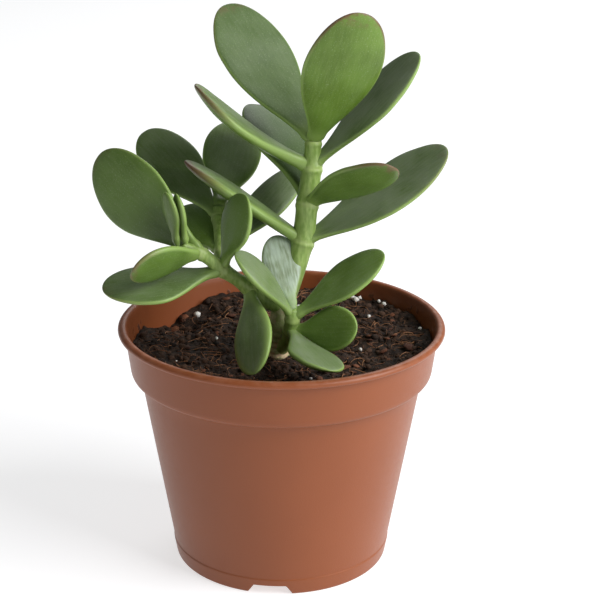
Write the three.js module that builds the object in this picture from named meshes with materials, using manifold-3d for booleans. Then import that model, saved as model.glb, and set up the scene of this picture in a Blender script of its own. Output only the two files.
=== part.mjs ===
// A potted jade plant (Crassula ovata) in a round injection-moulded nursery pot.
//
// Frame: millimetres, +Z up. The origin is the middle of the pot's centre foot, on the surface
// that the pot stands on. -Y is the front of the plant, and +X is its right-hand side.

import * as THREE from 'three';
import { mergeVertices } from 'three/addons/utils/BufferGeometryUtils.js';
import Module from 'manifold-3d';

const wasm = await Module();
wasm.setup();

// ---------------------------------------------------------------- driving dimensions

// Pot: a 12 cm nursery pot.
const POT_HEIGHT = 91;
const RIM_RADIUS = 60;
const RIM_INNER_RADIUS = 56.8;
const LIP_DEPTH = 2.4;
const COLLAR_TOP_RADIUS = 57.4;
const COLLAR_BOTTOM_RADIUS = 55.6;
const COLLAR_BOTTOM = 74.2;
const SHOULDER_BOTTOM = 71.8;
const BODY_TOP_RADIUS = 52;
const FOOT_RADIUS = 40;
const FOOT_RING_WIDTH = 1.8;
const FOOT_LINE_HEIGHT = 6;
const WALL = 1.2;
const BASE_UNDERSIDE = 3.6;
const BASE_TOP = 4.9;
const CENTRE_FOOT_RADIUS = 9;
const POT_SIDES = 48;

// Gaps in the foot ring that let water out, and the holes in the base.
const NOTCH_COUNT = 3;
const NOTCH_FIRST_ANGLE = -95;
const NOTCH_BOTTOM_WIDTH = 16.4;
const NOTCH_TOP_WIDTH = 11.8;
const NOTCH_HEIGHT = 3.4;
const DRAIN_COUNT = 6;
const DRAIN_RADIUS = 3.5;
const DRAIN_CIRCLE_RADIUS = 27;

// Soil: its top is uneven, and sinks towards the left wall and the middle.
const SOIL_LEVEL = 81.5;
const SOIL_SIDES = 36;
const ROOT_DEPTH = 12;

// The space that two pieces keep where they touch.
const GAP = 0.3;

// Stems and leaves.
const STEM_SIDES = 10;
const LEAF_STATIONS = 11;
const LEAF_SIDES = 10;
const PETIOLE_WIDTH_SHARE = 0.09;
const PETIOLE_THICKNESS_SHARE = 0.7;
const LEAF_TROUGH = 0.05;
const NODE_SWELL = 0.35;
const NODE_SWELL_LENGTH = 2.2;

// ---------------------------------------------------------------- materials

const potPlastic = new THREE.MeshStandardMaterial({ color: 0xa4603f, roughness: 0.42, metalness: 0 });
const pottingSoil = new THREE.MeshStandardMaterial({ color: 0x2f211a, roughness: 0.95, metalness: 0 });
const woodyStem = new THREE.MeshStandardMaterial({ color: 0x7d7f55, roughness: 0.7, metalness: 0 });
const greenStem = new THREE.MeshStandardMaterial({ color: 0x7f9f4c, roughness: 0.55, metalness: 0 });
const leafGreen = new THREE.MeshStandardMaterial({ color: 0x4f7338, roughness: 0.42, metalness: 0 });

// ---------------------------------------------------------------- solids

function radians(degrees) {
  return THREE.MathUtils.degToRad(degrees);
}

// Turns a closed geometry into a solid that can be joined and cut.
function toSolid(geometry) {
  const bare = geometry.clone();
  bare.deleteAttribute('normal');
  bare.deleteAttribute('uv');
  const merged = mergeVertices(bare, 1e-4);
  return new wasm.Manifold(new wasm.Mesh({
    numProp: 3,
    vertProperties: new Float32Array(merged.attributes.position.array),
    triVerts: new Uint32Array(merged.index.array),
  }));
}

// Turns a solid back into a geometry for a mesh.
function toGeometry(solid) {
  const mesh = solid.getMesh();
  const geometry = new THREE.BufferGeometry();
  geometry.setAttribute('position', new THREE.BufferAttribute(new Float32Array(mesh.vertProperties), 3));
  geometry.setIndex(new THREE.BufferAttribute(new Uint32Array(mesh.triVerts), 1));
  geometry.computeVertexNormals();
  return geometry;
}

function addMesh(group, name, solid, material) {
  const mesh = new THREE.Mesh(toGeometry(solid), material);
  mesh.name = name;
  group.add(mesh);
}

// Turns a closed profile of [radius, height] pairs about the Z axis.
function turned(profile, sides) {
  const points = profile.map(([radius, height]) => new THREE.Vector2(radius, height));
  const geometry = new THREE.LatheGeometry(points, sides);
  geometry.rotateX(Math.PI / 2);
  return geometry;
}

// ---------------------------------------------------------------- pot

// One closed section: centre foot, raised base, foot ring, tapered wall, shoulder, collar and lip
// up the outside, then the same line back down the inside.
function potSolid() {
  const wallSlope = (BODY_TOP_RADIUS - FOOT_RADIUS) / SHOULDER_BOTTOM;
  const lineRadius = FOOT_RADIUS + wallSlope * FOOT_LINE_HEIGHT;
  const profile = [
    [0, 0],
    [CENTRE_FOOT_RADIUS, 0],
    [CENTRE_FOOT_RADIUS, BASE_UNDERSIDE],
    [FOOT_RADIUS - FOOT_RING_WIDTH, BASE_UNDERSIDE],
    [FOOT_RADIUS - FOOT_RING_WIDTH, 0],
    [FOOT_RADIUS - 0.3, 0],
    [FOOT_RADIUS, 0.4],
    [lineRadius, FOOT_LINE_HEIGHT],
    [lineRadius - 0.25, FOOT_LINE_HEIGHT + 0.3],
    [BODY_TOP_RADIUS, SHOULDER_BOTTOM],
    [BODY_TOP_RADIUS + 1.6, SHOULDER_BOTTOM + 0.3],
    [COLLAR_BOTTOM_RADIUS - 0.4, COLLAR_BOTTOM - 1.1],
    [COLLAR_BOTTOM_RADIUS, COLLAR_BOTTOM],
    [COLLAR_TOP_RADIUS, POT_HEIGHT - LIP_DEPTH],
    [RIM_RADIUS - 0.7, POT_HEIGHT - LIP_DEPTH],
    [RIM_RADIUS, POT_HEIGHT - LIP_DEPTH * 0.6],
    [RIM_RADIUS - 0.3, POT_HEIGHT - 0.5],
    [RIM_RADIUS - 1.3, POT_HEIGHT],
    [RIM_INNER_RADIUS + 0.8, POT_HEIGHT],
    [RIM_INNER_RADIUS, POT_HEIGHT - 0.7],
    [COLLAR_TOP_RADIUS - WALL, POT_HEIGHT - LIP_DEPTH - 1],
    [COLLAR_BOTTOM_RADIUS - WALL, COLLAR_BOTTOM + 0.6],
    [BODY_TOP_RADIUS - WALL + 1.6, SHOULDER_BOTTOM + 1.4],
    [BODY_TOP_RADIUS - WALL, SHOULDER_BOTTOM + 0.5],
    [lineRadius - WALL, FOOT_LINE_HEIGHT + 1.5],
    [lineRadius - WALL - 1.5, BASE_TOP],
    [0, BASE_TOP],
  ];
  let solid = toSolid(turned(profile, POT_SIDES));

  for (let i = 0; i < NOTCH_COUNT; i += 1) {
    const outline = new THREE.Shape();
    outline.moveTo(-NOTCH_BOTTOM_WIDTH / 2, -1);
    outline.lineTo(NOTCH_BOTTOM_WIDTH / 2, -1);
    outline.lineTo(NOTCH_BOTTOM_WIDTH / 2, 0.4);
    outline.lineTo(NOTCH_TOP_WIDTH / 2 + 0.4, NOTCH_HEIGHT - 0.8);
    outline.lineTo(NOTCH_TOP_WIDTH / 2 - 0.7, NOTCH_HEIGHT);
    outline.lineTo(-NOTCH_TOP_WIDTH / 2 + 0.7, NOTCH_HEIGHT);
    outline.lineTo(-NOTCH_TOP_WIDTH / 2 - 0.4, NOTCH_HEIGHT - 0.8);
    outline.lineTo(-NOTCH_BOTTOM_WIDTH / 2, 0.4);
    const cutter = new THREE.ExtrudeGeometry(outline, { depth: 12, bevelEnabled: false });
    cutter.translate(0, 0, FOOT_RADIUS - 8);
    cutter.rotateX(Math.PI / 2);
    cutter.rotateZ(radians(NOTCH_FIRST_ANGLE + 90 + (i * 360) / NOTCH_COUNT));
    solid = solid.subtract(toSolid(cutter));
  }

  for (let i = 0; i < DRAIN_COUNT; i += 1) {
    const angle = radians(((i + 0.5) * 360) / DRAIN_COUNT);
    const drill = new THREE.CylinderGeometry(DRAIN_RADIUS, DRAIN_RADIUS, 6, 12);
    drill.rotateX(Math.PI / 2);
    drill.translate(
      DRAIN_CIRCLE_RADIUS * Math.cos(angle),
      DRAIN_CIRCLE_RADIUS * Math.sin(angle),
      (BASE_UNDERSIDE + BASE_TOP) / 2,
    );
    solid = solid.subtract(toSolid(drill));
  }
  return solid;
}

// ---------------------------------------------------------------- stems

// A stem is a turned rod bent along a smooth curve through its waypoints. Each waypoint is
// [x, y, z, radius], and a swelling rings the stem at each waypoint marked as a node.
function stemSolid({ waypoints, nodes = [], extra = 0, rows = 22 }) {
  const curve = new THREE.CatmullRomCurve3(
    waypoints.map(([x, y, z]) => new THREE.Vector3(x, y, z)),
    false,
    'centripetal',
  );
  const reach = curve.getLength();
  const lengths = curve.getLengths(400);
  const alongOf = waypoints.map((_, i) => {
    const step = Math.round((i / (waypoints.length - 1)) * 400);
    return lengths[step] / reach;
  });
  const radiusAt = (u) => {
    let i = 0;
    while (i < waypoints.length - 2 && u > alongOf[i + 1]) {
      i += 1;
    }
    const part = THREE.MathUtils.clamp((u - alongOf[i]) / (alongOf[i + 1] - alongOf[i]), 0, 1);
    let radius = THREE.MathUtils.lerp(waypoints[i][3], waypoints[i + 1][3], part);
    for (const node of nodes) {
      const away = ((u - alongOf[node]) * reach) / NODE_SWELL_LENGTH;
      radius += NODE_SWELL * Math.exp(-away * away);
    }
    return radius + extra;
  };

  const profile = [new THREE.Vector2(0, 0)];
  for (let i = 0; i <= rows; i += 1) {
    profile.push(new THREE.Vector2(radiusAt(i / rows), i / rows));
  }
  profile.push(new THREE.Vector2(0, 1));
  const geometry = new THREE.LatheGeometry(profile, STEM_SIDES);

  const frames = curve.computeFrenetFrames(rows, false);
  const position = geometry.attributes.position;
  const vertex = new THREE.Vector3();
  for (let i = 0; i < position.count; i += 1) {
    vertex.fromBufferAttribute(position, i);
    const u = vertex.y;
    const row = Math.round(u * rows);
    const onAxis = Math.hypot(vertex.x, vertex.z) < 1e-6;
    const endDome = onAxis ? (u > 0.5 ? 1 : -1) * radiusAt(u) * 0.45 : 0;
    const place = curve.getPointAt(u)
      .addScaledVector(frames.normals[row], vertex.z)
      .addScaledVector(frames.binormals[row], vertex.x)
      .addScaledVector(frames.tangents[row], endDome);
    position.setXYZ(i, place.x, place.y, place.z);
  }
  return outward(toSolid(geometry), geometry);
}

// Gives the solid with its faces outward, turning its triangles over where the bend reversed them.
function outward(solid, geometry) {
  if (solid.volume() > 0) {
    return solid;
  }
  const index = geometry.index;
  for (let i = 0; i < index.count; i += 3) {
    const second = index.getX(i + 1);
    index.setX(i + 1, index.getX(i + 2));
    index.setX(i + 2, second);
  }
  return toSolid(geometry);
}

// Nodes of the stems, where the leaves spring from.
const TRUNK_LOW = [7.5, -3, 123];
const TRUNK_MIDDLE = [9, -1.5, 136.5];
const TRUNK_HIGH = [10.5, 0, 149.5];
const TRUNK_TOP = [11, 0.5, 159];
const BRANCH_FIRST = [-11.5, -11, 107.8];
const BRANCH_SECOND = [-21, -15, 116];
const BRANCH_THIRD = [-28.5, -17.5, 122.8];
const BRANCH_TOP = [-34.5, -19, 125.8];
const YOUNG_OUTER = [-36.2, -19, 125.7];
const YOUNG_INNER = [-33.3, -19, 126];
const SHOOT_LOW = [-21.5, -8, 120];
const SHOOT_TOP = [-22.8, 3, 130];
const SHOOT_TIP = [-23, 4.5, 133];
const FRONT_LOW = [3.5, -14, 93];
const FRONT_TOP = [4, -16, 98.5];
const FRONT_TIP = [4.3, -16.4, 101.5];

const trunk = {
  name: 'trunk',
  material: woodyStem,
  rows: 30,
  nodes: [3, 7, 8, 9, 10],
  waypoints: [
    [-1, -7, SOIL_LEVEL - ROOT_DEPTH, 3.4],
    [-1, -7, 79.5, 3.9],
    [-1, -7, 85, 3.8],
    [-0.9, -7, 90, 3.8],
    [0.5, -6, 99.5, 3.9],
    [3.3, -5, 108.5, 4],
    [6, -4, 117.5, 4],
    [...TRUNK_LOW, 4],
    [...TRUNK_MIDDLE, 3.8],
    [...TRUNK_HIGH, 3.5],
    [...TRUNK_TOP, 2.6],
  ],
};

const branch = {
  name: 'left_branch',
  material: greenStem,
  nodes: [2, 4, 5],
  waypoints: [
    [0.5, -6.2, 98.5, 2.8],
    [-5.5, -8.5, 102.2, 3],
    [...BRANCH_FIRST, 2.9],
    [-16, -13, 111.7, 2.4],
    [...BRANCH_SECOND, 2.5],
    [...BRANCH_THIRD, 2.1],
    [...BRANCH_TOP, 1.7],
  ],
};

const backShoot = {
  name: 'back_shoot',
  material: greenStem,
  rows: 14,
  nodes: [1, 3],
  waypoints: [
    [-20.8, -12.5, 116.2, 2.4],
    [...SHOOT_LOW, 2.4],
    [-21.8, -2.5, 125, 2.7],
    [...SHOOT_TOP, 2.6],
    [...SHOOT_TIP, 2.2],
  ],
};

const frontShoot = {
  name: 'front_shoot',
  material: greenStem,
  rows: 14,
  nodes: [2, 3],
  waypoints: [
    [-0.5, -8, 83, 2.6],
    [2.2, -11.5, 87.5, 2.6],
    [...FRONT_LOW, 2.6],
    [...FRONT_TOP, 2.4],
    [...FRONT_TIP, 1.7],
  ],
};

// ---------------------------------------------------------------- leaves

// A leaf is a flattened spoon: a petiole that widens into a blade with a round tip. It springs
// from the middle of its node. heading is its compass direction in plan (0 = right, 90 = back),
// rise its slope above level, roll its turn about its own length, and curl the angle that it
// bends through, towards its upper face. widest is how far along it is broadest, and taper how
// sharply it narrows from there to the petiole.
const leaves = [
  // Opposite pairs up the trunk, each pair turned a quarter from the next.
  {
    name: 'leaf_crown_back', node: TRUNK_TOP, heading: 140, rise: 46, roll: -16,
    length: 60, width: 28, curl: 14, taper: 1.7,
  },
  {
    name: 'leaf_crown_front', node: TRUNK_TOP, heading: -58, rise: 60, roll: -16,
    length: 57, width: 28, curl: 18, widest: 0.6, taper: 1.6,
  },
  {
    name: 'leaf_upper_right', node: TRUNK_HIGH, heading: 0, rise: 48, roll: 17,
    length: 55, width: 25, curl: 5,
  },
  {
    name: 'leaf_upper_left', node: TRUNK_HIGH, heading: 186, rise: 36, roll: 2,
    length: 51, width: 25, thickness: 5, curl: 24, widest: 0.66, taper: 2.5,
  },
  {
    name: 'leaf_middle_back', node: TRUNK_MIDDLE, heading: 118, rise: 33, roll: 12,
    length: 50, width: 25, curl: -18, taper: 2.7,
  },
  {
    name: 'leaf_middle_front', node: TRUNK_MIDDLE, heading: -42, rise: 28, roll: -30,
    length: 44, width: 20, taper: 1.2,
  },
  {
    name: 'leaf_lower_left', node: TRUNK_LOW, heading: 177, rise: 34, roll: 9,
    length: 51, width: 23, thickness: 5, widest: 0.6, taper: 1.4,
  },
  {
    name: 'leaf_lower_right', node: TRUNK_LOW, heading: 5, rise: 33, roll: 17,
    length: 61, width: 28, curl: 15, widest: 0.59, taper: 1.6,
  },

  // Along the left branch.
  {
    name: 'leaf_branch_hanging', node: BRANCH_FIRST, heading: -85, rise: -40, roll: 43,
    length: 35, width: 17, curl: 14, widest: 0.59, taper: 1.6,
  },
  {
    name: 'leaf_branch_upright', node: BRANCH_SECOND, heading: -26, rise: 71, roll: 60,
    length: 30, width: 17, taper: 2.4,
  },
  {
    name: 'leaf_branch_low', node: BRANCH_SECOND, heading: -162, rise: -5, roll: -13,
    length: 43, width: 25, curl: 16, widest: 0.6, taper: 2.4,
  },
  {
    name: 'leaf_branch_back', node: BRANCH_THIRD, heading: 150, rise: 33, roll: -84,
    length: 52, width: 27, curl: -12, taper: 1.8,
  },
  {
    name: 'leaf_branch_front', node: BRANCH_THIRD, heading: -135, rise: 0, roll: 60,
    length: 31, width: 16, taper: 1.4,
  },
  {
    name: 'leaf_young_outer', node: YOUNG_OUTER, heading: 180, rise: 79, roll: 35,
    length: 20, width: 9, thickness: 2.6,
  },
  {
    name: 'leaf_young_inner', node: YOUNG_INNER, heading: 0, rise: 99, roll: 25,
    length: 19, width: 9, thickness: 2.6,
  },

  // On the shoot behind the left branch.
  {
    name: 'leaf_shoot_left', node: SHOOT_LOW, heading: 125, rise: 18, roll: -20,
    length: 30, width: 19,
  },
  {
    name: 'leaf_shoot_right', node: SHOOT_LOW, heading: 52, rise: 25, roll: 22,
    length: 50, width: 14, taper: 1.8,
  },
  {
    name: 'leaf_shoot_far', node: SHOOT_TOP, heading: 140, rise: 34, roll: -29,
    length: 45, width: 21,
  },
  {
    name: 'leaf_shoot_top', node: SHOOT_TIP, heading: 82, rise: 26, roll: 14,
    length: 48, width: 22, curl: 8, taper: 1.8,
  },

  // On the short shoot at the front of the trunk.
  {
    name: 'leaf_front_left', node: FRONT_TOP, heading: 196, rise: 51, roll: -25,
    length: 33, width: 15, curl: -18,
  },
  {
    name: 'leaf_front_upright', node: FRONT_TIP, heading: 115, rise: 55, roll: -14,
    length: 28, width: 14, curl: 7,
  },
  {
    name: 'leaf_front_right', node: FRONT_TOP, heading: 3, rise: 36, roll: 20,
    length: 40, width: 19, widest: 0.6,
  },
  {
    name: 'leaf_front_round', node: FRONT_LOW, heading: -32, rise: 13, roll: 65,
    length: 28, width: 16, curl: 8, taper: 2.5,
  },
  {
    name: 'leaf_front_low', node: FRONT_LOW, heading: -68, rise: -2, roll: -14,
    length: 38, width: 18, curl: 20, taper: 1.9,
  },
];

function leafSolid(leaf) {
  const { node, heading, rise, length, width } = leaf;
  const { roll = 0, thickness = 4, curl = 0, widest = 0.62, taper = 2.1, extra = 0 } = leaf;

  // A unit rod whose rows crowd together towards the tip.
  const profile = [new THREE.Vector2(0, 0)];
  for (let i = 0; i < LEAF_STATIONS; i += 1) {
    profile.push(new THREE.Vector2(1, 1 - (1 - i / LEAF_STATIONS) ** 1.5));
  }
  profile.push(new THREE.Vector2(0, 1));
  const geometry = new THREE.LatheGeometry(profile, LEAF_SIDES);

  // The leaf's own directions: out along its length, across its width, up from its upper face.
  const out = new THREE.Vector3(
    Math.cos(radians(rise)) * Math.cos(radians(heading)),
    Math.cos(radians(rise)) * Math.sin(radians(heading)),
    Math.sin(radians(rise)),
  );
  const across = new THREE.Vector3(-Math.sin(radians(heading)), Math.cos(radians(heading)), 0);
  across.applyAxisAngle(out, radians(roll));
  const up = new THREE.Vector3().crossVectors(out, across);
  const petioleHalfWidth = width * PETIOLE_WIDTH_SHARE;
  const petioleHalfThickness = Math.min(petioleHalfWidth, thickness / 2) * PETIOLE_THICKNESS_SHARE;

  const position = geometry.attributes.position;
  const place = new THREE.Vector3();
  for (let i = 0; i < position.count; i += 1) {
    const side = position.getX(i);
    const along = position.getY(i);
    const face = position.getZ(i);
    const towardsWidest = Math.min(along / widest, 1);
    const pastWidest = Math.max((along - widest) / (1 - widest), 0);
    const roundTip = Math.sqrt(Math.max(1 - pastWidest ** 2, 0));
    const spoon = Math.sin((Math.PI / 2) * towardsWidest) ** taper;
    const halfWidth = THREE.MathUtils.lerp(petioleHalfWidth, width / 2, spoon) * roundTip + extra;
    const halfThickness =
      THREE.MathUtils.lerp(petioleHalfThickness, thickness / 2, towardsWidest) * roundTip + extra;
    const bow = -(radians(curl) / 2) * along * (1 - along) * length;
    const trough = LEAF_TROUGH * halfWidth * side ** 2;
    place.set(...node)
      .addScaledVector(out, along * length)
      .addScaledVector(across, side * halfWidth)
      .addScaledVector(up, bow + trough + face * halfThickness);
    position.setXYZ(i, place.x, place.y, place.z);
  }
  return outward(toSolid(geometry), geometry);
}

// ---------------------------------------------------------------- soil

// A plug that fills the pot to a little below its rim. Its top rises and falls by a few
// millimetres, lowest on the left, and the trunk stands in a socket in it.
function soilSolid(trunkSocket) {
  const wallSlope = (BODY_TOP_RADIUS - FOOT_RADIUS) / SHOULDER_BOTTOM;
  const insideAt = (height) => FOOT_RADIUS + wallSlope * height - WALL - GAP;
  const edge = COLLAR_BOTTOM_RADIUS - WALL - GAP + 0.4;
  const profile = [
    [0, BASE_TOP + GAP],
    [insideAt(FOOT_LINE_HEIGHT) - 1.9, BASE_TOP + GAP],
    [insideAt(FOOT_LINE_HEIGHT + 2) - 0.4, FOOT_LINE_HEIGHT + 2],
    [insideAt(SHOULDER_BOTTOM) - 0.3, SHOULDER_BOTTOM],
    [COLLAR_BOTTOM_RADIUS - WALL - GAP - 0.8, COLLAR_BOTTOM + 1],
    [edge, SOIL_LEVEL - 1.5],
    [edge - 1, SOIL_LEVEL],
    [44, SOIL_LEVEL],
    [34, SOIL_LEVEL],
    [23, SOIL_LEVEL],
    [12, SOIL_LEVEL],
    [0, SOIL_LEVEL],
  ];
  const geometry = turned(profile, SOIL_SIDES);
  const position = geometry.attributes.position;
  for (let i = 0; i < position.count; i += 1) {
    const x = position.getX(i);
    const y = position.getY(i);
    const z = position.getZ(i);
    if (z > SOIL_LEVEL - 0.1) {
      position.setZ(i, z + soilRise(x, y));
    }
  }
  return toSolid(geometry).subtract(trunkSocket);
}

// How far the soil's top stands above SOIL_LEVEL at a point in plan.
function soilRise(x, y) {
  const dish = 3 * ((x * x + y * y) / 2900) - 2;
  const slope = 0.02 * x + 0.04 * y;
  const hollow = -6 * Math.exp(-((x + 42) ** 2 + (y - 32) ** 2) / 260);
  const lumps = 0.5 * Math.sin(x / 6.5 + 1.2) * Math.cos(y / 7.5) + 0.35 * Math.sin(x / 3.9 - y / 4.7);
  return dish + slope + hollow + lumps;
}

// ---------------------------------------------------------------- the plant in its pot

const stems = [trunk, branch, backShoot, frontShoot];

// Cuts a gap around each obstacle from a solid, and keeps its largest piece.
function clearOf(solid, obstacles) {
  let cut = solid;
  for (const obstacle of obstacles) {
    cut = cut.subtract(obstacle);
  }
  const pieces = cut.decompose();
  return pieces.reduce((largest, piece) => (piece.volume() > largest.volume() ? piece : largest));
}

// The space that each stem keeps to itself.
const [trunkSpace, branchSpace, backShootSpace, frontShootSpace] = stems.map(
  (stem) => stemSolid({ ...stem, extra: GAP }),
);

const plant = new THREE.Group();
addMesh(plant, 'pot', potSolid(), potPlastic);
addMesh(plant, 'soil', soilSolid(trunkSpace), pottingSoil);
addMesh(plant, trunk.name, stemSolid(trunk), trunk.material);
addMesh(plant, branch.name, clearOf(stemSolid(branch), [trunkSpace]), branch.material);
addMesh(plant, backShoot.name, clearOf(stemSolid(backShoot), [branchSpace]), backShoot.material);
addMesh(plant, frontShoot.name, clearOf(stemSolid(frontShoot), [trunkSpace]), frontShoot.material);

// Each leaf is cut clear of the stems, and of the leaves before it where their petioles meet.
const spaces = [trunkSpace, branchSpace, backShootSpace, frontShootSpace];
for (const leaf of leaves) {
  addMesh(plant, leaf.name, clearOf(leafSolid(leaf), spaces), leafGreen);
  spaces.push(leafSolid({ ...leaf, extra: GAP }));
}

export default plant;
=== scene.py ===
import math

import bpy
import numpy as np
from mathutils import Matrix, Vector


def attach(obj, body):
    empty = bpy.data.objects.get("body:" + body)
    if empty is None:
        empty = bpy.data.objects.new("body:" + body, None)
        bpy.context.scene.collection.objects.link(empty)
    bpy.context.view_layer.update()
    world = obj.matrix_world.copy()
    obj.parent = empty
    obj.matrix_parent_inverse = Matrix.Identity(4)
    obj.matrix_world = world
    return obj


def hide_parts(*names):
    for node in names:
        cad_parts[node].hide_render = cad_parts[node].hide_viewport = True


# The frame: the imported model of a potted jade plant. It stands on its foot at the origin, with
# its front towards -Y and its right-hand side towards +X. Sizes below are in millimetres, and
# each mesh is turned into metres as it is made.
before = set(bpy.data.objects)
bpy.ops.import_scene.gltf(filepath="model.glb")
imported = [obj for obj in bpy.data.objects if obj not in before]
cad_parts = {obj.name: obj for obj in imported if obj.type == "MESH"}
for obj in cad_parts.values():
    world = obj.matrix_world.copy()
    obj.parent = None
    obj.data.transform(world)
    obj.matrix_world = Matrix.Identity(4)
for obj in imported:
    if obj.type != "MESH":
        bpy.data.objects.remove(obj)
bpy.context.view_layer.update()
MILLIMETRE = 0.001


# ---------------------------------------------------------------------------- the pot
# A 12 cm nursery pot: one injection moulding in terracotta-coloured polypropylene, with a thin
# tapered wall, a stepped collar under a turned-over lip, and a foot ring with gaps in it that
# let water out from under the raised base. A round centre foot stands under the base.
POT_HEIGHT = 91
POT_BASE_TOP = 4.9
RIM_RADIUS = 60
LIP_UNDERSIDE = 88.6
SHOULDER_HEIGHT = 71.8
FOOT_RADIUS = 40
FOOT_LINE_HEIGHT = 6
BODY_SLOPE = 12 / SHOULDER_HEIGHT
FOOT_RING_INNER_RADIUS = 38.2
CENTRE_FOOT_RADIUS = 9
BASE_UNDERSIDE = 3.6
POT_SECTORS = 480
CORNER_EASE = 0.7
CORNER_STEPS = 5
LONGEST_STEP = 4.5
NOTCH_ANGLES = (-95, 25, 145)
NOTCH_BOTTOM_WIDTH = 16.4
NOTCH_TOP_WIDTH = 11.8
NOTCH_HEIGHT = 3.4
DRAIN_ANGLES = (30, 90, 150, 210, 270, 330)
DRAIN_CIRCLE_RADIUS = 27
DRAIN_RADIUS = 3.5

OUTER_SECTION = [
    (CENTRE_FOOT_RADIUS, 0),
    (CENTRE_FOOT_RADIUS, BASE_UNDERSIDE),
    (FOOT_RING_INNER_RADIUS, BASE_UNDERSIDE),
    (FOOT_RING_INNER_RADIUS, 0),
    (39.7, 0),
    (FOOT_RADIUS, 0.4),
    (41, FOOT_LINE_HEIGHT),
    (40.75, FOOT_LINE_HEIGHT + 0.35),
    (52, SHOULDER_HEIGHT),
    (53.6, 72.1),
    (55.2, 73.1),
    (55.6, 74.4),
    (57.4, LIP_UNDERSIDE - 0.3),
    (58, LIP_UNDERSIDE),
    (59.4, LIP_UNDERSIDE),
    (RIM_RADIUS, 89.4),
    (59.8, 90.3),
    (58.9, POT_HEIGHT),
]
INNER_SECTION = [
    (57.5, POT_HEIGHT),
    (56.8, 90.4),
    (56.3, 88.2),
    (54.4, 74.8),
    (52.4, 73.3),
    (50.8, 72.3),
    (39.8, 7.5),
    (38.3, POT_BASE_TOP),
]


def new_piece(name, points, faces, marks):
    """A smooth-shaded object from points in millimetres and arrays of faces.

    Each array of faces holds faces with the same number of corners. marks are named numbers,
    one for each point, that the materials read as attributes.
    """
    corners = np.concatenate([part.ravel() for part in faces])
    sizes = np.concatenate([np.full(len(part), part.shape[1]) for part in faces])
    mesh = bpy.data.meshes.new(name)
    mesh.vertices.add(len(points))
    mesh.vertices.foreach_set("co", (np.asarray(points) * MILLIMETRE).ravel())
    mesh.loops.add(len(corners))
    mesh.loops.foreach_set("vertex_index", corners)
    mesh.polygons.add(len(sizes))
    mesh.polygons.foreach_set("loop_start", np.cumsum(sizes) - sizes)
    mesh.update(calc_edges=True)
    mesh.polygons.foreach_set("use_smooth", np.ones(len(sizes), dtype=bool))
    for mark, numbers in marks.items():
        attribute = mesh.attributes.new(mark, "FLOAT", "POINT")
        attribute.data.foreach_set("value", np.asarray(numbers).ravel())
    piece = bpy.data.objects.new(name, mesh)
    bpy.context.scene.collection.objects.link(piece)
    return piece


def skin(name, rings, start, end, marks):
    """A closed skin over rings of points, row after row, with a pole at each end.

    Neighbouring rings are joined by four-sided faces, and each end ring by a fan to its pole.
    A mark's number at a pole is the mean of the ring beside it.
    """
    rows, columns = rings.shape[:2]
    points = np.concatenate([rings.reshape(-1, 3), [start], [end]])
    index = np.arange(rows * columns).reshape(rows, columns)
    beside = np.roll(index, -1, axis=1)
    quads = np.stack([index[:-1], beside[:-1], beside[1:], index[1:]], axis=-1).reshape(-1, 4)
    first_pole = np.full(columns, rows * columns)
    fans = np.concatenate([
        np.stack([beside[0], index[0], first_pole], axis=-1),
        np.stack([index[-1], beside[-1], first_pole + 1], axis=-1),
    ])
    spread = {}
    for mark, numbers in marks.items():
        whole = np.broadcast_to(numbers, (rows, columns))
        spread[mark] = np.concatenate([whole.ravel(), [whole[0].mean(), whole[-1].mean()]])
    return new_piece(name, points, [quads, fans], spread)


def eased(section, ease, longest):
    """A section with its corners rounded and its long sides divided.

    A corner becomes the curve (1-t)^2 a + 2t(1-t) corner + t^2 b, where a and b lie on its two
    sides, ease away from it or 0.45 of the side's length where that is less.
    """
    corner = np.array(section[1:-1], dtype=float)
    before = np.array(section[:-2], dtype=float) - corner
    after = np.array(section[2:], dtype=float) - corner
    before_length = np.linalg.norm(before, axis=1, keepdims=True)
    after_length = np.linalg.norm(after, axis=1, keepdims=True)
    a = corner + before / before_length * np.minimum(ease, before_length * 0.45)
    b = corner + after / after_length * np.minimum(ease, after_length * 0.45)
    t = np.linspace(0, 1, CORNER_STEPS)[None, :, None]
    curves = (1 - t) ** 2 * a[:, None] + 2 * t * (1 - t) * corner[:, None] + t ** 2 * b[:, None]
    line = np.concatenate([[section[0]], curves.reshape(-1, 2), [section[-1]]])
    reach = np.concatenate([[0], np.cumsum(np.linalg.norm(np.diff(line, axis=0), axis=1))])
    stations = [np.linspace(p, q, max(int((q - p) / longest), 1), endpoint=False)
                for p, q in zip(reach[:-1], reach[1:]) if q > p]
    stations = np.append(np.concatenate(stations), reach[-1])
    return np.stack([np.interp(stations, reach, line[:, k]) for k in (0, 1)], axis=-1)


def notch_height(angle):
    """How high the foot ring's underside stands at an angle round the pot, in degrees.

    It is a trapezoid in each gap: full height across the gap's top, falling in a straight line
    to nothing at its bottom corners.
    """
    away = np.min([np.abs((angle - middle + 180) % 360 - 180) for middle in NOTCH_ANGLES], axis=0)
    distance = np.radians(away) * FOOT_RADIUS
    slope = (NOTCH_BOTTOM_WIDTH - NOTCH_TOP_WIDTH) / 2
    return NOTCH_HEIGHT * np.clip((NOTCH_BOTTOM_WIDTH / 2 - distance) / slope, 0, 1)


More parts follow.
